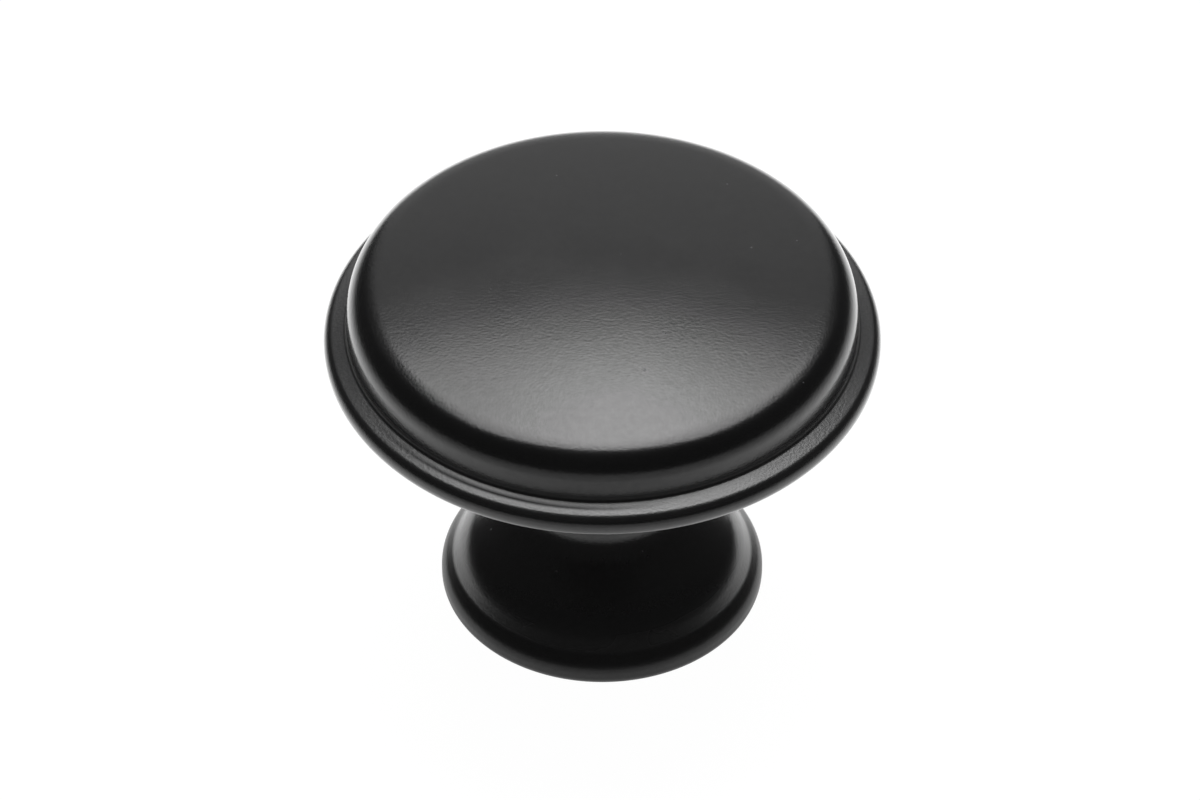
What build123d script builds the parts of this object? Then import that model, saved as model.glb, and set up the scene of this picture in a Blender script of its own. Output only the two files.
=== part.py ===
from build123d import *
from math import asin, atan2, cos, hypot, radians, sin, tan
import os

# All lengths are in millimetres and all angles in degrees.

# Whole knob
knob_height = 24.80
cap_diameter = 33.0

# Rim around the raised disc: a narrow sloping land and a rounded side
rim_width = 1.42
rim_angle = 18.0
rim_side_height = 1.33
rim_upper_edge_radius = 0.68
rim_lower_edge_radius = 0.95

# Raised disc: a domed top that bends into a softened edge, and a wall with a little draft
disc_rise = 4.25
dome_radius = 78.2
bend_radius = 4.50
bend_angle = 10.8
disc_edge_radius = 1.76
disc_draft_angle = 3.0
disc_base_radius = 0.28

# Underside of the cap, where the fingers pull
underside_angle = 12.0
underside_radius = 5.5

# Neck, flaring down to a cone, a rounded shoulder and a cove above the foot
neck_diameter = 8.52
flare_radius = 2.75
cone_angle = 39.0
shoulder_radius = 3.7
shoulder_angle = 60.5
flank_length = 0.76
cove_radius = 0.80

# Foot that sits on the drawer front
foot_diameter = 19.50
foot_side_height = 0.95
foot_top_radius = 1.00
foot_top_angle = 40.0
foot_top_inset = 0.71
foot_edge_radius = 0.66

# Blind hole for the mounting screw, at its core diameter
screw_core_diameter = 3.3
screw_hole_depth = 12.0
screw_hole_chamfer = 0.5
drill_point_angle = 118.0

# Radii of the cap, the neck and the foot
cap_radius = cap_diameter / 2
neck_radius = neck_diameter / 2
foot_radius = foot_diameter / 2

# Disc: the dome leans just enough at its end for the bend and the edge to meet the wall
draft = radians(disc_draft_angle)
bend = radians(bend_angle)
wall_top_radius = cap_radius - rim_width
bend_excess = bend_radius - disc_edge_radius
lean_cosine_share = bend_excess * sin(bend)
lean_sine_share = dome_radius - bend_radius + bend_excess * cos(bend)
lean_reach = (wall_top_radius - disc_edge_radius * cos(draft)) / hypot(lean_sine_share, lean_cosine_share)
dome_lean = asin(lean_reach) - atan2(lean_cosine_share, lean_sine_share)
bend_lean = dome_lean + bend
dome_end_radius = dome_radius * sin(dome_lean)
dome_end_level = knob_height - dome_radius * (1 - cos(dome_lean))
bend_end_radius = dome_end_radius + bend_radius * (sin(bend_lean) - sin(dome_lean))
bend_end_level = dome_end_level - bend_radius * (cos(dome_lean) - cos(bend_lean))
wall_top_level = bend_end_level - disc_edge_radius * (cos(bend_lean) - sin(draft))
disc_foot_level = knob_height - disc_rise
disc_foot_radius = wall_top_radius + (wall_top_level - disc_foot_level) * tan(draft)

# Levels of the rim and of the neck under it
rim_slope = radians(rim_angle)
underside_slope = tan(radians(underside_angle))
rim_edge_level = disc_foot_level - (cap_radius - disc_foot_radius) * tan(rim_slope)
rim_bottom_level = rim_edge_level - rim_side_height
neck_top_level = rim_bottom_level - (cap_radius - neck_radius) * underside_slope

# Foot: its side is rounded over to a sloping top, which ends where the shoulder's flank begins
foot_top_slope = radians(foot_top_angle)
foot_top_start_radius = foot_radius - foot_top_radius * (1 - sin(foot_top_slope))
foot_top_start_level = foot_side_height + foot_top_radius * cos(foot_top_slope)
cove_corner_radius = foot_radius - foot_top_inset
foot_top_width = foot_top_start_radius - cove_corner_radius
cove_corner_level = foot_top_start_level + foot_top_width * tan(foot_top_slope)

# Shoulder above the foot: a steep flank, a convex arc and a cone that runs up to the neck
shoulder_slope = radians(shoulder_angle)
cone_slope = radians(cone_angle)
flank_top_radius = cove_corner_radius - flank_length * cos(shoulder_slope)
flank_top_level = cove_corner_level + flank_length * sin(shoulder_slope)
cone_foot_radius = flank_top_radius - shoulder_radius * (sin(shoulder_slope) - sin(cone_slope))
cone_foot_level = flank_top_level + shoulder_radius * (cos(cone_slope) - cos(shoulder_slope))
cone_width = cone_foot_radius - neck_radius
neck_foot_level = cone_foot_level + cone_width * tan(cone_slope)

# The flare and the rounding under the cap share the neck, and the flare stays on the cone
neck_length = neck_top_level - neck_foot_level
flare_tangent = tan((radians(90) - cone_slope) / 2)
underside_tangent = tan(radians(90 - underside_angle) / 2)
neck_used = flare_radius * flare_tangent + underside_radius * underside_tangent
neck_share = min(1, 0.95 * neck_length / neck_used)
cone_share = min(1, 0.95 * cone_width / cos(cone_slope) / (flare_radius * flare_tangent))
flare_rounding = flare_radius * min(neck_share, cone_share)
underside_rounding = underside_radius * neck_share

# The two roundings of the rim share its side
upper_reach = rim_upper_edge_radius * tan((radians(90) - rim_slope) / 2)
lower_reach = rim_lower_edge_radius * underside_tangent
rim_share = min(1, 0.97 * rim_side_height / (upper_reach + lower_reach))
rim_upper_rounding = rim_upper_edge_radius * rim_share
rim_lower_rounding = rim_lower_edge_radius * rim_share

# The rounding under the foot leaves a little of its side, and the cove a little of its two runs
foot_rounding = min(foot_edge_radius, 0.95 * foot_side_height)
cove_run = min(flank_length, foot_top_width / cos(foot_top_slope))
cove_rounding = min(cove_radius, 0.95 * cove_run / tan((shoulder_slope - foot_top_slope) / 2))

# Corners of the half section, from the centre of the base outwards and up
base_centre = (0, 0)
foot_corner = (foot_radius, 0)
foot_side = (foot_radius, foot_side_height)
foot_top_start = (foot_top_start_radius, foot_top_start_level)
cove_corner = (cove_corner_radius, cove_corner_level)
flank_top = (flank_top_radius, flank_top_level)
cone_foot = (cone_foot_radius, cone_foot_level)
neck_foot = (neck_radius, neck_foot_level)
neck_top = (neck_radius, neck_top_level)
rim_bottom = (cap_radius, rim_bottom_level)
rim_edge = (cap_radius, rim_edge_level)
disc_foot = (disc_foot_radius, disc_foot_level)
wall_top = (wall_top_radius, wall_top_level)
bend_end = (bend_end_radius, bend_end_level)
dome_end = (dome_end_radius, dome_end_level)
crown = (0, knob_height)

# Half section with sharp corners
shoulder_direction = (-cos(shoulder_slope), sin(shoulder_slope))
outline = [
    Line(base_centre, foot_corner),
    Line(foot_corner, foot_side),
    TangentArc(foot_side, foot_top_start, tangent=(0, 1)),
    Line(foot_top_start, cove_corner),
    Line(cove_corner, flank_top),
    TangentArc(flank_top, cone_foot, tangent=shoulder_direction),
    Line(cone_foot, neck_foot),
    Line(neck_foot, neck_top),
    Line(neck_top, rim_bottom),
    Line(rim_bottom, rim_edge),
    Line(rim_edge, disc_foot),
    Line(disc_foot, wall_top),
    TangentArc(bend_end, wall_top, tangent=(cos(bend_lean), -sin(bend_lean))),
    TangentArc(dome_end, bend_end, tangent=(cos(dome_lean), -sin(dome_lean))),
    TangentArc(crown, dome_end, tangent=(1, 0)),
    Line(crown, base_centre),
]
section = make_face(outline)


def round_corner(face, corner, radius):
    """Round the one corner of a flat face that lies at the given point."""
    vertex = face.vertices().sort_by_distance((*corner, 0))[0]
    return fillet(vertex, radius)


# Rounded edges
section = round_corner(section, foot_corner, foot_rounding)
section = round_corner(section, cove_corner, cove_rounding)
section = round_corner(section, neck_foot, flare_rounding)
section = round_corner(section, neck_top, underside_rounding)
section = round_corner(section, rim_bottom, rim_lower_rounding)
section = round_corner(section, rim_edge, rim_upper_rounding)
section = round_corner(section, disc_foot, disc_base_radius)

# One turned solid about the knob's axis
body = revolve(Plane.XZ * section, Axis.Z)

# Blind screw hole with a drill point and a chamfered mouth
screw_core_radius = screw_core_diameter / 2
drill_point_depth = screw_core_radius / tan(radians(drill_point_angle / 2))
mouth_radius = screw_core_radius + screw_hole_chamfer
hole_outline = Polyline(
    (0, 0),
    (mouth_radius, 0),
    (screw_core_radius, screw_hole_chamfer),
    (screw_core_radius, screw_hole_depth),
    (0, screw_hole_depth + drill_point_depth),
    close=True,
)
hole = revolve(Plane.XZ * make_face(hole_outline), Axis.Z)

knob = body - hole
knob.label = "knob"

os.makedirs("parts", exist_ok=True)
export_step(knob, "parts/knob.step")
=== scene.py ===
# %% [markdown]
# A turned cabinet knob, made in Blender
#
# The real thing is one zinc casting: a small rounded foot, a waisted neck, a broad cap with
# a narrow rim and a raised, gently domed disc, all coated in satin black. This lesson builds
# it in the order a maker thinks: where it stands, what its half section is, how that section
# is turned, how the coat looks, and how it is lit.

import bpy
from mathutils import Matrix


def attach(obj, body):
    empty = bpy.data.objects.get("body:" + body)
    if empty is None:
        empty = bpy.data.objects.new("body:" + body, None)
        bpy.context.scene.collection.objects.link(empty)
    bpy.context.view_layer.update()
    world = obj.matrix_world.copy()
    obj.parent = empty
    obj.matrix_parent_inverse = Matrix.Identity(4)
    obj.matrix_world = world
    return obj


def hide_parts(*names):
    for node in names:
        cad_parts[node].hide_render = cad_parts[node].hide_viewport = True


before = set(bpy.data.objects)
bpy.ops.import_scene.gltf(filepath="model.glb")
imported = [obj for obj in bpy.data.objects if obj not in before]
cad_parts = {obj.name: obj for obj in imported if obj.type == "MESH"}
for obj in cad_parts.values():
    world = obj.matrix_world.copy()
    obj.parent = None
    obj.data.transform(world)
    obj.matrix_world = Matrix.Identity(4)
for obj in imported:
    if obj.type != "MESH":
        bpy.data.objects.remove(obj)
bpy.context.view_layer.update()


# %% The other modules of the lesson
from math import asin, atan2, ceil, cos, hypot, pi, radians, sin, tan

import bmesh
import bpy
from mathutils import Matrix, Vector

MM = 0.001
scene = bpy.context.scene
scene.view_settings.view_transform = "Standard"
print("Blender", bpy.app.version_string, "in metres, one millimetre is", MM)

# %% [markdown]
# The camera
#
# The knob is seen from 43 degrees above the horizon through a long lens, so its circles are
# almost true ellipses. A camera could be placed by eye, but here its height angle, distance
# and lens are known numbers, so a small matrix built from them puts it in place exactly.

# %% Where the camera looks from
camera_elevation = radians(42.861)
camera_roll = radians(0.062)
camera_distance = 450.45 * MM
aim_level = 12.6 * MM
aim_left = 0.134 * MM
aim_up = 1.340 * MM

look_back = Vector((0, -cos(camera_elevation), sin(camera_elevation)))
look_right = Vector((1, 0, 0))
look_up = look_back.cross(look_right)
right = look_right * cos(camera_roll) + look_up * sin(camera_roll)
up = look_up * cos(camera_roll) - look_right * sin(camera_roll)
aim = Vector((0, 0, aim_level)) - right * aim_left + up * aim_up
turn = Matrix((right, up, look_back)).transposed().to_4x4()


def in_short(values, digits=2):
    """A list of numbers, rounded off for printing."""
    return [round(value, digits) for value in values]


print("aimed at", in_short(aim / MM), "mm")

# %% Camera at the photograph's viewing angle
focal_length_px = 7529.39
frame_width_px = 1200
sensor_width_mm = 36
nearest_seen = 10 * MM

camera_data = bpy.data.cameras.new("photo_camera")
camera_data.sensor_width = sensor_width_mm
camera_data.lens = sensor_width_mm * focal_length_px / frame_width_px
camera_data.clip_start = nearest_seen
camera = bpy.data.objects.new("photo_camera", camera_data)
camera.matrix_world = Matrix.Translation(aim + look_back * camera_distance) @ turn
scene.collection.objects.link(camera)
scene.camera = camera
print("lens", round(camera_data.lens, 2), "mm, at", in_short(camera.location, 4))

# %% [markdown]
# The half section
#
# A round knob is fully described by the line from the middle of its underside, out over the
# foot, up the neck, round the rim and back to the crown. It could be sketched as a curve by
# hand. Written as sizes, straight runs and true arcs it stays exact, and every rounding can
# be checked against the part. First come two helpers that draw arcs as short steps. The
# section's own numbers are millimetres.

# %% Two helpers that draw arcs
arc_step = radians(3.0)


def arc_leaving(start, end, leaving):
    """Points of the arc that leaves start in a given direction and ends at end."""
    start, end, leaving = Vector(start), Vector(end), Vector(leaving).normalized()
    side = Vector((-leaving.y, leaving.x))
    chord = end - start
    bend = 2 * chord.dot(side) / chord.length_squared
    centre = start + side / bend
    swing = 2 * atan2(chord.dot(side), chord.dot(leaving))
    steps = max(2, ceil(abs(swing) / arc_step))
    spoke = start - centre
    points = []
    for i in range(steps + 1):
        c, s = cos(swing * i / steps), sin(swing * i / steps)
        points.append(centre + Vector((spoke.x * c - spoke.y * s, spoke.x * s + spoke.y * c)))
    return points


def rounded(before, corner, after, radius):
    """Points of the arc that rounds a corner between two straight runs."""
    before, corner, after = Vector(before), Vector(corner), Vector(after)
    to_before = (before - corner).normalized()
    to_after = (after - corner).normalized()
    reach = radius / tan(to_before.angle(to_after) / 2)
    return arc_leaving(corner + to_before * reach, corner + to_after * reach, -to_before)


print("a quarter round has", len(rounded((0, 1), (0, 0), (1, 0), 0.5)), "points")

# %% Foot: a flat base, a short side and a rounded top
foot_radius = 9.75
foot_side_level = 0.95
foot_edge_rounding = 0.66
foot_top_rounding = 1.0
shelf = radians(40)

foot_corner = (foot_radius, 0)
foot_side = (foot_radius, foot_side_level)
shelf_start = Vector((
    foot_radius - foot_top_rounding * (1 - sin(shelf)),
    foot_side_level + foot_top_rounding * cos(shelf),
))
foot_base_edge = rounded((0, 0), foot_corner, foot_side, foot_edge_rounding)
foot_round = arc_leaving(foot_side, shelf_start, (0, 1))
foot_points = len(foot_base_edge) + len(foot_round)
print("foot", foot_points, "points, rounded up to", in_short(shelf_start))

# %% Shoulder and neck: a cove, a convex round, a cone and a concave flare
neck_radius = 4.26
cove_corner_radius = 9.04
cove_rounding = 0.8
flank_length = 0.76
shoulder_radius = 3.7
flare_rounding = 2.75
shoulder = radians(60.5)
cone = radians(39)

flank_direction = Vector((-cos(shoulder), sin(shoulder)))
shoulder_run = Vector((sin(cone) - sin(shoulder), cos(cone) - cos(shoulder)))
cove_rise = (shelf_start.x - cove_corner_radius) * tan(shelf)
cove_corner = Vector((cove_corner_radius, shelf_start.y + cove_rise))
flank_top = cove_corner + flank_length * flank_direction
cone_foot = flank_top + shoulder_radius * shoulder_run
neck_foot = Vector((neck_radius, cone_foot.y + (cone_foot.x - neck_radius) * tan(cone)))
cove = rounded(shelf_start, cove_corner, flank_top, cove_rounding)
shoulder_round = arc_leaving(flank_top, cone_foot, flank_direction)
flare = rounded(cone_foot, neck_foot, neck_foot + Vector((0, 1)), flare_rounding)
print("cove corner", in_short(cove_corner), "cone from", in_short(cone_foot))
print("neck begins at", round(flare[-1].y, 2), "mm")

# %% Raised disc: the dome leans just enough at its end for its edge to meet the wall
crown_level = 24.7995
wall_top_radius = 15.08
dome_radius, bend_radius, edge_radius = 78.2, 4.5, 1.76
bend, draft = radians(10.8), radians(3)

excess = bend_radius - edge_radius
across = dome_radius - bend_radius + excess * cos(bend)
aside = excess * sin(bend)
lean_sine = (wall_top_radius - edge_radius * cos(draft)) / hypot(across, aside)
dome_lean = asin(lean_sine) - atan2(aside, across)
bend_lean = dome_lean + bend
print("the dome leans", round(dome_lean / radians(1), 2), "degrees at its end")

# %% Raised disc: a dome that bends into a softened edge, and a wall with a little draft
disc_foot_level = 20.55
dome_steps = 20

dome_centre = Vector((0, crown_level - dome_radius))
dome_end = dome_centre + dome_radius * Vector((sin(dome_lean), cos(dome_lean)))
bend_run = Vector((sin(bend_lean) - sin(dome_lean), cos(bend_lean) - cos(dome_lean)))
edge_run = Vector((cos(draft) - sin(bend_lean), sin(draft) - cos(bend_lean)))
bend_end = dome_end + bend_radius * bend_run
wall_top = bend_end + edge_radius * edge_run
wall_spread = (wall_top.y - disc_foot_level) * tan(draft)
disc_foot = Vector((wall_top_radius + wall_spread, disc_foot_level))
edge_round = arc_leaving(wall_top, bend_end, (-sin(draft), cos(draft)))
bend_round = arc_leaving(bend_end, dome_end, (-cos(bend_lean), sin(bend_lean)))
dome = []
for k in range(dome_steps - 1, -1, -1):
    lean = dome_lean * k / dome_steps
    dome.append(dome_centre + dome_radius * Vector((sin(lean), cos(lean))))
print("wall from", in_short(disc_foot), "to", in_short(wall_top))
print("dome from radius", round(dome_end.x, 2), "mm")

# %% Rim: the pulling edge under the cap, its rounded side and a narrow sloping land
cap_radius = 16.494
rim_side_height = 1.33
rim_slope = radians(18)
underside_slope = radians(12)
underside_rounding = 5.5
rim_lower_rounding = 0.95
rim_upper_rounding = 0.68
disc_base_rounding = 0.28

rim_drop = (cap_radius - disc_foot.x) * tan(rim_slope)
underside_drop = (cap_radius - neck_radius) * tan(underside_slope)
rim_edge = Vector((cap_radius, disc_foot.y - rim_drop))
rim_bottom = rim_edge - Vector((0, rim_side_height))
neck_top = Vector((neck_radius, rim_bottom.y - underside_drop))
underside_round = rounded(neck_foot, neck_top, rim_bottom, underside_rounding)
rim_lower_round = rounded(neck_top, rim_bottom, rim_edge, rim_lower_rounding)
rim_upper_round = rounded(rim_bottom, rim_edge, disc_foot, rim_upper_rounding)
disc_base_round = rounded(rim_edge, disc_foot, wall_top, disc_base_rounding)
print("rim side from", round(rim_bottom.y, 2), "to", round(rim_edge.y, 2), "mm")

# %% [markdown]
# The screw hole
#
# Underneath, a blind hole takes the screw that comes through the drawer front. It has a
# chamfered mouth, a tapped wall and the cone that a drill leaves. It could be cut out of the
# finished body, but as part of the section it needs no cut. The wall is divided finely along
# its depth, because a thread will be cut into it while the section is turned.

# %% Screw hole, from the drill point down to the mouth
core_radius = 1.65
hole_depth = 12.0
mouth_chamfer = 0.5
drill_half_angle = radians(59)
thread_pitch = 0.7
thread_depth = 0.33
steps_per_pitch = 9

drill_tip = hole_depth + core_radius / tan(drill_half_angle)
wall_length = hole_depth - mouth_chamfer
wall_steps = round(wall_length / (thread_pitch / steps_per_pitch))
hole = [Vector((0, drill_tip)), Vector((core_radius / 2, (drill_tip + hole_depth) / 2))]
for i in range(wall_steps + 1):
    hole.append(Vector((core_radius, hole_depth - wall_length * i / wall_steps)))
mouth = [Vector((core_radius + mouth_chamfer, 0))]
print("hole", len(hole), "points,", wall_steps, "steps down the wall")

# %% The whole section in one line, with no long steps above the base
longest_step = 0.8
shortest_step = 0.004
base_level = 0.01

section = hole + mouth + foot_base_edge + foot_round + cove
section += shoulder_round + flare + underside_round + rim_lower_round + rim_upper_round
section += disc_base_round + edge_round + bend_round + dome
line = [section[0]]
for point in section[1:]:
    gap = (point - line[-1]).length
    if gap > shortest_step:
        above_base = min(point.y, line[-1].y) > base_level
        pieces = ceil(gap / longest_step) if above_base else 1
        line += [line[-1].lerp(point, i / pieces) for i in range(1, pieces + 1)]
print("section", len(line), "points, from", in_short(line[0]), "to", in_short(line[-1]))

# %% [markdown]
# Turning the section
#
# A lathe shape follows a rule, so Geometry Nodes make it: a grid is rolled up, one side of it
# running round the axis and the other along the section. A Screw modifier could turn the
# section too, but here the same rule also cuts the thread, because each point knows both its
# angle and its height. The section is a row of mesh points with one number each, which says
# how much thread is cut there.

# %% The section as a row of points, with the depth of thread at each
thread_lead_in = 0.25
thread_run_out = 0.8
thread_top = hole_depth - 1.2
same_place = 0.001

section_points = [(p.x * MM, 0, p.y * MM) for p in line]
section_edges = [(i, i + 1) for i in range(len(line) - 1)]
section_mesh = bpy.data.meshes.new("half_section")
section_mesh.from_pydata(section_points, section_edges, [])
thread_share = section_mesh.attributes.new("thread_share", "FLOAT", "POINT")
for i, p in enumerate(line):
    on_wall = abs(p.x - core_radius) < same_place
    fade_in = min(1, max(0, (p.y - mouth_chamfer) / thread_lead_in))
    fade_out = min(1, max(0, (thread_top - p.y) / thread_run_out))
    thread_share.data[i].value = fade_in * fade_out if on_wall else 0
casting = bpy.data.objects.new("knob_casting", section_mesh)
scene.collection.objects.link(casting)
print("points that carry thread:", sum(1 for d in thread_share.data if d.value > 0))

# %% Helpers that add nodes, feed them and join them
def add_node(tree, kind, **settings):
    """A new node in a tree, with its settings."""
    node = tree.nodes.new(kind)
    for name, value in settings.items():
        setattr(node, name, value)
    return node


def join(tree, *pairs):
    """Links each pair of output and input sockets."""
    for source, target in pairs:
        tree.links.new(source, target)


def feed(tree, target, value):
    """Links an input to a socket, or sets it to a plain value."""
    if hasattr(value, "is_linked"):
        tree.links.new(value, target)
    else:
        target.default_value = value


print("three node helpers ready")

# %% Helpers that reckon with sockets and plain numbers
def math_node(tree, operation, *values):
    """A Math node over one or two values; returns its output."""
    node = add_node(tree, "ShaderNodeMath", operation=operation)
    for target, value in zip(node.inputs, values):
        feed(tree, target, value)
    return node.outputs[0]


def total(tree, first, *others):
    """Adds values one after another."""
    for other in others:
        first = math_node(tree, "ADD", first, other)
    return first


def product(tree, first, *others):
    """Multiplies values one after another."""
    for other in others:
        first = math_node(tree, "MULTIPLY", first, other)
    return first


def spread(tree, value, low, high, to_low, to_high):
    """Maps a range of a value onto another range, held at both ends."""
    node = add_node(tree, "ShaderNodeMapRange")
    names = ("Value", "From Min", "From Max", "To Min", "To Max")
    for name, number in zip(names, (value, low, high, to_low, to_high)):
        feed(tree, node.inputs[name], number)
    return node.outputs["Result"]


print("four reckoning helpers ready")

# %% The turning tree: its inputs
turning = bpy.data.node_groups.new("turned_and_tapped", "GeometryNodeTree")
turning.is_modifier = True
face = turning.interface
for name, kind in (
    ("Section", "NodeSocketGeometry"),
    ("Segments", "NodeSocketInt"),
    ("Thread Pitch", "NodeSocketFloat"),
    ("Thread Depth", "NodeSocketFloat"),
    ("Finish", "NodeSocketMaterial"),
):
    face.new_socket(name, in_out="INPUT", socket_type=kind)
face.new_socket("Knob", in_out="OUTPUT", socket_type="NodeSocketGeometry")
given = add_node(turning, "NodeGroupInput").outputs
print("inputs:", [s.name for s in face.items_tree if s.in_out == "INPUT"])

# %% The turning tree: a grid with its columns round the axis and its rows along the section
size = add_node(turning, "GeometryNodeAttributeDomainSize", component="MESH")
grid = add_node(turning, "GeometryNodeMeshGrid")
count = size.outputs["Point Count"]
join(
    turning,
    (given["Section"], size.inputs[0]),
    (total(turning, given["Segments"], 1), grid.inputs["Vertices X"]),
    (count, grid.inputs["Vertices Y"]),
)
index = add_node(turning, "GeometryNodeInputIndex").outputs[0]
columns_done = math_node(turning, "DIVIDE", total(turning, index, 0.5), count)
column = math_node(turning, "FLOOR", columns_done)
row = math_node(turning, "SUBTRACT", index, product(turning, column, count))
around = math_node(turning, "DIVIDE", column, given["Segments"])
angle = product(turning, around, 2 * pi)
print("grid nodes:", len(turning.nodes))

# %% The turning tree: read radius, height and thread from the section
place = add_node(turning, "GeometryNodeSampleIndex", data_type="FLOAT_VECTOR", domain="POINT")
share = add_node(turning, "GeometryNodeSampleIndex", data_type="FLOAT", domain="POINT")
position = add_node(turning, "GeometryNodeInputPosition").outputs[0]
named = add_node(turning, "GeometryNodeInputNamedAttribute", data_type="FLOAT")
named.inputs["Name"].default_value = "thread_share"
for node, value in ((place, position), (share, named.outputs["Attribute"])):
    join(
        turning,
        (given["Section"], node.inputs["Geometry"]),
        (value, node.inputs["Value"]),
        (row, node.inputs["Index"]),
    )
split = add_node(turning, "ShaderNodeSeparateXYZ")
join(turning, (place.outputs[0], split.inputs[0]))
radius_here, height_here = split.outputs["X"], split.outputs["Z"]
print("section is read by", place.bl_label)

# %% The turning tree: a right-hand thread with flattened crests
crest_share, root_share = 0.15, 0.85

pitches_up = math_node(turning, "DIVIDE", height_here, given["Thread Pitch"])
turns = math_node(turning, "SUBTRACT", pitches_up, around)
zigzag = math_node(turning, "PINGPONG", product(turning, turns, 2), 1)
groove = spread(turning, zigzag, crest_share, root_share, 0, 1)
cut = product(turning, share.outputs[0], given["Thread Depth"], groove)
radius_cut = total(turning, radius_here, cut)
print("thread: pitch", thread_pitch, "mm, depth", thread_depth, "mm")

# %% The turning tree: roll up, close the seam and the two poles, finish
weld_distance = 0.001 * MM

rolled = add_node(turning, "ShaderNodeCombineXYZ")
put = add_node(turning, "GeometryNodeSetPosition")
weld = add_node(turning, "GeometryNodeMergeByDistance")
weld.inputs["Distance"].default_value = weld_distance
smooth = add_node(turning, "GeometryNodeSetShadeSmooth")
real = add_node(turning, "GeometryNodeRealizeInstances")
coat_it = add_node(turning, "GeometryNodeSetMaterial")
result = add_node(turning, "NodeGroupOutput")
join(
    turning,
    (product(turning, radius_cut, math_node(turning, "COSINE", angle)), rolled.inputs["X"]),
    (product(turning, radius_cut, math_node(turning, "SINE", angle)), rolled.inputs["Y"]),
    (height_here, rolled.inputs["Z"]),
    (grid.outputs["Mesh"], put.inputs["Geometry"]),
    (rolled.outputs[0], put.inputs["Position"]),
    (put.outputs[0], weld.inputs["Geometry"]),
    (weld.outputs[0], smooth.inputs["Geometry"]),
    (smooth.outputs[0], real.inputs["Geometry"]),
    (real.outputs[0], coat_it.inputs["Geometry"]),
    (given["Finish"], coat_it.inputs["Material"]),
    (coat_it.outputs[0], result.inputs["Knob"]),
)
print("turning tree:", len(turning.nodes), "nodes,", len(turning.links), "links")

# %% [markdown]
# The coat
#
# The casting is sprayed satin black. Close up such a coat is not a flat colour: it has a fine
# orange-peel grain a sixth of a millimetre across, its gloss wanders a little, and a few
# specks of pale dust lie on it. On the narrow land beside the disc the spray falls drier, so
# it is greyer and grainier there, with one painted dark line at the front left, where the coat
# is darker and reflects less, and the hollow where the disc's wall meets the land is duller.
# The neck and the foot are painted a little paler, as painted light that lifts the shade under
# the cap; the coat is glossier on the neck and duller on the foot. Inside the screw hole the
# tap has cut through it, so bare zinc shows. All this could be painted as pictures wrapped
# round the knob. Noise and soft masks on the object's own coordinates need no picture, and
# give every mark its real size.

# %% Satin black coat: the shader
coat = bpy.data.materials.new("satin_black_coat")
coat.use_nodes = True
tree = coat.node_tree
tree.nodes.clear()
shader = add_node(tree, "ShaderNodeBsdfPrincipled")
surface = add_node(tree, "ShaderNodeOutputMaterial")
shader.inputs["IOR"].default_value = 1.5
join(tree, (shader.outputs[0], surface.inputs["Surface"]))
where = add_node(tree, "ShaderNodeTexCoord").outputs["Object"]
print("coat shader IOR", shader.inputs["IOR"].default_value)

# %% Helpers for patterns on the coat
def noise_at(tree, where, size_mm, detail=2.0, roughness=0.5):
    """Noise whose features are about the given size; returns the value socket."""
    node = add_node(tree, "ShaderNodeTexNoise")
    node.inputs["Scale"].default_value = 1 / (size_mm * MM)
    node.inputs["Detail"].default_value = detail
    node.inputs["Roughness"].default_value = roughness
    tree.links.new(where, node.inputs["Vector"])
    return node.outputs[0]


def begins(tree, value, low_mm, high_mm):
    """A mask that rises from 0 to 1 between two distances."""
    return spread(tree, value, low_mm * MM, high_mm * MM, 0, 1)


def ends(tree, value, low_mm, high_mm):
    """A mask that falls from 1 to 0 between two distances."""
    return spread(tree, value, low_mm * MM, high_mm * MM, 1, 0)


def blend_colour(tree, share, first, second):
    """Mixes two colours, each a socket or plain numbers, by a share."""
    # A Mix node set to colour has its two colours at inputs 6 and 7 and its result at output 2
    node = add_node(tree, "ShaderNodeMix", data_type="RGBA")
    tree.links.new(share, node.inputs[0])
    for target, paint in ((node.inputs[6], first), (node.inputs[7], second)):
        feed(tree, target, (*paint, 1) if isinstance(paint, tuple) else paint)
    return node.outputs[2]


print("four pattern helpers ready")

# %% Satin black coat: grain, wandering gloss and dust
dust_cell_mm = 1.3
dust_kept_above = 0.72
speck_core, speck_edge = 0.035, 0.055

grain = noise_at(tree, where, size_mm=0.16)
mottle = noise_at(tree, where, size_mm=0.40, detail=3.0, roughness=0.6)
wave = noise_at(tree, where, size_mm=1.6, detail=1.0)
cloud = noise_at(tree, where, size_mm=5.0)
dust = add_node(tree, "ShaderNodeTexVoronoi", feature="F1")
dust.inputs["Scale"].default_value = 1 / (dust_cell_mm * MM)
pick = add_node(tree, "ShaderNodeSeparateColor")
join(tree, (where, dust.inputs["Vector"]), (dust.outputs["Color"], pick.inputs[0]))
near_speck = spread(tree, dust.outputs["Distance"], speck_core, speck_edge, 1, 0)
kept = math_node(tree, "GREATER_THAN", pick.outputs[0], dust_kept_above)
speck = product(tree, near_speck, kept)
print("dust cells of", round(1 / dust.inputs["Scale"].default_value / MM, 2), "mm")

# %% Satin black coat: distance from the axis and level, and bare zinc in the tapped hole
bare_out_to = (2.02, 2.10)
bare_up_to = (14.0, 14.2)

flat = add_node(tree, "ShaderNodeSeparateXYZ")
join(tree, (where, flat.inputs[0]))
along_x, along_y, level = (flat.outputs[axis] for axis in "XYZ")
squares = total(tree, product(tree, along_x, along_x), product(tree, along_y, along_y))
off_axis = math_node(tree, "SQRT", squares)
bare = product(tree, ends(tree, off_axis, *bare_out_to), ends(tree, level, *bare_up_to))
print("bare metal inside a radius of", bare_out_to[0], "mm, up to", bare_up_to[0], "mm")

# %% Satin black coat: the land beside the disc and the hollow at the wall's foot
rim_side_top = (19.90, 20.05)
land_inner, land_outer = (15.24, 15.32), (15.92, 16.10)
hollow_inner, hollow_top = (15.00, 15.06), (20.70, 21.00)

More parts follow.
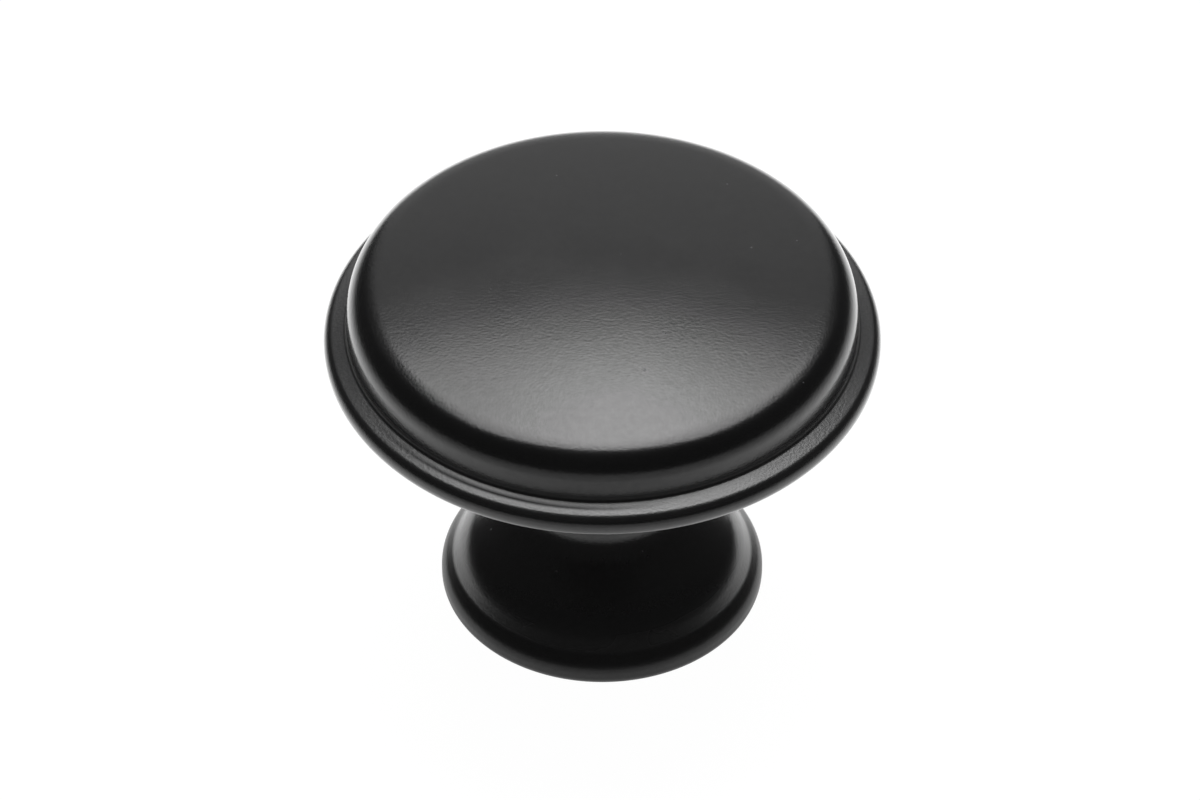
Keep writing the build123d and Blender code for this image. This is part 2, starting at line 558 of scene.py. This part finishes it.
above_side = begins(tree, level, *rim_side_top)
land = product(tree, begins(tree, off_axis, *land_inner), above_side)
flat_land = product(tree, land, ends(tree, off_axis, *land_outer))
hollow = product(
    tree,
    begins(tree, off_axis, *hollow_inner),
    ends(tree, off_axis, *land_inner),
    ends(tree, level, *hollow_top),
    above_side,
)
print("the hollow ends and the land begins at a radius of", land_inner[1], "mm")

# %% Satin black coat: a painted dark line on the land, fading out round the front left
line_inner, line_outer = (15.42, 15.62), (15.66, 15.80)
line_towards = (-0.375, -0.927)
line_strength = 0.90

# A painted dark line: in a thin ring, where the land faces the front left, the dry grey is taken
# away and the specular level turned down
to_front_left = total(
    tree,
    product(tree, along_x, line_towards[0]),
    product(tree, along_y, line_towards[1]),
)
facing = math_node(tree, "DIVIDE", to_front_left, off_axis)
painted_dark_line = product(
    tree,
    begins(tree, off_axis, *line_inner),
    ends(tree, off_axis, *line_outer),
    spread(tree, facing, 0.80, 1.0, 0, line_strength),
)
off_dark_line = math_node(tree, "SUBTRACT", 1, painted_dark_line)
print("the thin line is full between", line_inner[1], "and", line_outer[0], "mm")

# %% Satin black coat: its colour, one layer over another
black_deep, black_soft = (0.0028, 0.0028, 0.0030), (0.0036, 0.0036, 0.0038)
dry_dark, dry_pale = (0.026, 0.026, 0.0265), (0.043, 0.043, 0.0438)
# Painted light: a paler grey on the neck and the foot, to lift the shade that falls under the cap
painted_lift_grey = (0.013, 0.013, 0.0132)
painted_foot_lift_grey = (0.020, 0.020, 0.0202)
dust_grey = (0.055, 0.055, 0.058)
zinc_grey = (0.42, 0.42, 0.43)
painted_lift_levels, painted_foot_lift_levels = (15.0, 16.5), (2.4, 3.4)

colour = blend_colour(tree, spread(tree, cloud, 0.2, 0.8, 0, 1), black_deep, black_soft)
dry = blend_colour(tree, spread(tree, grain, 0.3, 0.7, 0, 1), dry_dark, dry_pale)
layers = (
    (product(tree, flat_land, off_dark_line), dry),
    # painted light: paler up to the neck, paler still on the foot, lifting the shade under the cap
    (ends(tree, level, *painted_lift_levels), painted_lift_grey),
    (ends(tree, level, *painted_foot_lift_levels), painted_foot_lift_grey),
    (speck, dust_grey),
    (bare, zinc_grey),
)
for share_here, paint in layers:
    colour = blend_colour(tree, share_here, colour, paint)
print("colour layers over the black:", len(layers))

# %% Satin black coat: roughness and specular level
land_dullness, hollow_dullness, dust_dullness = 0.06, 0.22, 0.4
land_sheen, foot_sheen = 0.28, 0.78
dull_below = ((3.0, 3.8, 0.09), (1.2, 2.2, 0.14), (10, 12, -0.048))

dullness = total(
    tree,
    spread(tree, cloud, 0.2, 0.8, 0.21, 0.25),
    product(tree, land, land_dullness),
    *(spread(tree, level, a * MM, b * MM, extra, 0) for a, b, extra in dull_below),
    product(tree, hollow, hollow_dullness),
    product(tree, speck, dust_dullness),
)
open_sheen = spread(tree, mottle, 0.25, 0.75, 0.46, 0.54)
sheen = product(
    tree,
    total(tree, open_sheen, product(tree, land, land_sheen)),
    off_dark_line,
    spread(tree, level, 3.0 * MM, 4.4 * MM, foot_sheen, 1),
)
print("coat nodes so far:", len(tree.nodes))

# %% Satin black coat: bump, and everything joined to the shader
peel_share, land_peel_share, wave_share = 1.4, 0.4, 0.4
peel_height = 0.0060 * MM

coarse = total(tree, product(tree, land, land_peel_share), peel_share)
peel = product(tree, math_node(tree, "SUBTRACT", grain, 0.5), coarse)
bump = add_node(tree, "ShaderNodeBump")
bump.inputs["Strength"].default_value = 1.0
bump.inputs["Distance"].default_value = peel_height
join(
    tree,
    (colour, shader.inputs["Base Color"]),
    (dullness, shader.inputs["Roughness"]),
    (sheen, shader.inputs["Specular IOR Level"]),
    (bare, shader.inputs["Metallic"]),
    (total(tree, peel, product(tree, wave, wave_share)), bump.inputs["Height"]),
    (bump.outputs[0], shader.inputs["Normal"]),
)
print("coat nodes:", len(tree.nodes))

# %% Turn the section
modifier = casting.modifiers.new("turning", "NODES")
modifier.node_group = turning
wanted = {
    "Segments": 192,
    "Thread Pitch": thread_pitch * MM,
    "Thread Depth": thread_depth * MM,
    "Finish": coat,
}
for socket in face.items_tree:
    if socket.in_out == "INPUT" and socket.name in wanted:
        modifier[socket.identifier] = wanted[socket.name]
turned = casting.evaluated_get(bpy.context.evaluated_depsgraph_get())
shape = bpy.data.meshes.new_from_object(turned)
casting.modifiers.clear()
casting.data = shape
shape.name = "knob_casting"
print("turned:", len(shape.vertices), "points,", len(shape.polygons), "faces")

# %% Check that the casting is closed and faces outwards
least_edge = 0.0005 * MM

check = bmesh.new()
check.from_mesh(shape)
bmesh.ops.dissolve_degenerate(check, dist=least_edge, edges=check.edges)
loose = sum(1 for e in check.edges if len(e.link_faces) != 2)
if check.calc_volume(signed=True) < 0:
    bmesh.ops.reverse_faces(check, faces=check.faces)
volume = check.calc_volume(signed=True)
triangles = sum(len(f.verts) - 2 for f in check.faces)
check.to_mesh(shape)
check.free()
shape.shade_smooth()
print("open edges", loose, "volume", round(volume / MM**3), "cubic mm, triangles", triangles)

# %% The casting takes the place of the CAD part
shape.materials.clear()
shape.materials.append(coat)
shape.polygons.foreach_set("material_index", [0] * len(shape.polygons))
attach(casting, "root")
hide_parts("knob")
print("materials:", [m.name for m in shape.materials])

# %% [markdown]
# Floor and light
#
# The knob stands on a plain white floor under one large softbox, high up and behind it and
# turned a little to the right. The softbox is brighter in its middle and spills a little past
# its edge, and a dim card stands further down behind. The rest of the room is dark, which is
# what gives the black coat its deep tones and its one broad sheen. A picture of a studio could
# light it too, but lamps can be moved one by one until each sheen sits where it should. The
# floor is lit, so that it keeps the shadow and shows in the coat; a share of plain white makes
# it read as white paper. Where the coat mirrors it, the floor also has a painted glow, brighter
# behind the knob than in front.

# %% White floor
floor_reach = 4
floor_sink = 0.01 * MM

around_floor = ((-1, -1), (1, -1), (1, 1), (-1, 1))
floor_corners = [(x * floor_reach, y * floor_reach, 0) for x, y in around_floor]
floor_mesh = bpy.data.meshes.new("studio_floor")
floor_mesh.from_pydata(floor_corners, [], [(0, 1, 2, 3)])
floor = bpy.data.objects.new("studio_floor", floor_mesh)
scene.collection.objects.link(floor)
floor.location.z = -floor_sink
print("floor of", round(floor.dimensions.x, 1), "m")

# %% White paper: what the camera sees of the floor
paper_white = 0.86
plain_white = 1.04
plain_share = 0.95

paper = bpy.data.materials.new("white_paper")
paper.use_nodes = True
paper_tree = paper.node_tree
paper_tree.nodes.clear()
floor_mesh.materials.append(paper)
lit = add_node(paper_tree, "ShaderNodeBsdfDiffuse")
lit.inputs["Color"].default_value = (paper_white, paper_white, paper_white, 1)
plain = add_node(paper_tree, "ShaderNodeEmission")
plain.inputs["Strength"].default_value = plain_white
ray = add_node(paper_tree, "ShaderNodeLightPath").outputs
both = add_node(paper_tree, "ShaderNodeMixShader")
join(
    paper_tree,
    (product(paper_tree, ray["Is Camera Ray"], plain_share), both.inputs[0]),
    (lit.outputs[0], both.inputs[1]),
    (plain.outputs[0], both.inputs[2]),
)
print("paper nodes so far:", len(paper_tree.nodes))

# %% White paper: a painted glow that the coat mirrors, brighter behind the knob and near it
gleam_front, gleam_behind = 0.075, 1.65
front_edge, back_edge = -56 * MM, 26 * MM
gleam_far_share = 0.1
near_side, far_side = 50 * MM, 140 * MM

# Painted light: the floor glows for mirrored rays only, brightest behind the knob and fading to the
# front and the sides
mirrored = math_node(paper_tree, "MAXIMUM", ray["Is Glossy Ray"], ray["Is Transmission Ray"])
floor_place = add_node(paper_tree, "ShaderNodeSeparateXYZ")
floor_point = add_node(paper_tree, "ShaderNodeTexCoord").outputs["Object"]
join(paper_tree, (floor_point, floor_place.inputs[0]))
backwards, sideways = floor_place.outputs["Y"], floor_place.outputs["X"]
rising = spread(paper_tree, backwards, front_edge, back_edge, gleam_front, gleam_behind)
off_middle = math_node(paper_tree, "ABSOLUTE", sideways)
falling = spread(paper_tree, off_middle, near_side, far_side, 1, gleam_far_share)
painted_gleam = add_node(paper_tree, "ShaderNodeEmission")
brighter = add_node(paper_tree, "ShaderNodeAddShader")
paper_out = add_node(paper_tree, "ShaderNodeOutputMaterial")
join(
    paper_tree,
    (product(paper_tree, rising, falling, mirrored), painted_gleam.inputs["Strength"]),
    (both.outputs[0], brighter.inputs[0]),
    (painted_gleam.outputs[0], brighter.inputs[1]),
    (brighter.outputs[0], paper_out.inputs["Surface"]),
)
print("paper nodes:", len(paper_tree.nodes))

# %% A helper that hangs a soft light and turns it to the knob
def soft_light(name, azimuth, elevation, distance, width, height, brightness, outline="RECTANGLE"):
    """A lamp seen from the knob at two angles, with the brightness of its face."""
    data = bpy.data.lights.new(name, "AREA")
    data.shape = outline
    data.size, data.size_y = width, height
    area = width * height * (pi / 4 if outline == "ELLIPSE" else 1)
    # An area lamp with four watts for each square metre has a face of brightness 1
    data.energy = 4 * area * brightness
    lamp = bpy.data.objects.new(name, data)
    a, e = radians(azimuth), radians(elevation)
    towards = Vector((sin(a) * cos(e), cos(a) * cos(e), sin(e)))
    lamp.location = towards * distance
    lamp.rotation_euler = towards.to_track_quat("Z", "Y").to_euler()
    scene.collection.objects.link(lamp)
    print(name, "energy", round(data.energy, 2), "W")


print("lamp helper ready")

# %% The softbox in three layers, and the card behind
softbox_place = {"azimuth": 4, "elevation": 69.0}
soft_light("softbox", **softbox_place, distance=1.00, width=0.80, height=0.61, brightness=3.5)
soft_light(
    "softbox_middle",
    **softbox_place,
    distance=1.01,
    width=0.31,
    height=0.60,
    brightness=2.3,
    outline="ELLIPSE",
)
soft_light("softbox_spill", **softbox_place, distance=1.02, width=0.95, height=0.76, brightness=0.5)
soft_light(
    "back_card",
    azimuth=0,
    elevation=22,
    distance=0.80,
    width=0.68,
    height=0.62,
    brightness=0.54,
)
print("lamps:", len(bpy.data.lights))

# %% A dim room
room_grey = 0.086

room = bpy.data.worlds.new("dim_room")
scene.world = room
room.use_nodes = True
room_tree = room.node_tree
room_tree.nodes.clear()
dim = add_node(room_tree, "ShaderNodeBackground")
dim.inputs["Color"].default_value = (room_grey, room_grey, room_grey, 1)
white = add_node(room_tree, "ShaderNodeBackground")
white.inputs["Color"].default_value = (1, 1, 1, 1)
seen = add_node(room_tree, "ShaderNodeLightPath").outputs["Is Camera Ray"]
choose = add_node(room_tree, "ShaderNodeMixShader")
room_out = add_node(room_tree, "ShaderNodeOutputWorld")
join(
    room_tree,
    (seen, choose.inputs[0]),
    (dim.outputs[0], choose.inputs[1]),
    (white.outputs[0], choose.inputs[2]),
    (choose.outputs[0], room_out.inputs["Surface"]),
)
print("room brightness", round(dim.inputs["Color"].default_value[0], 3))
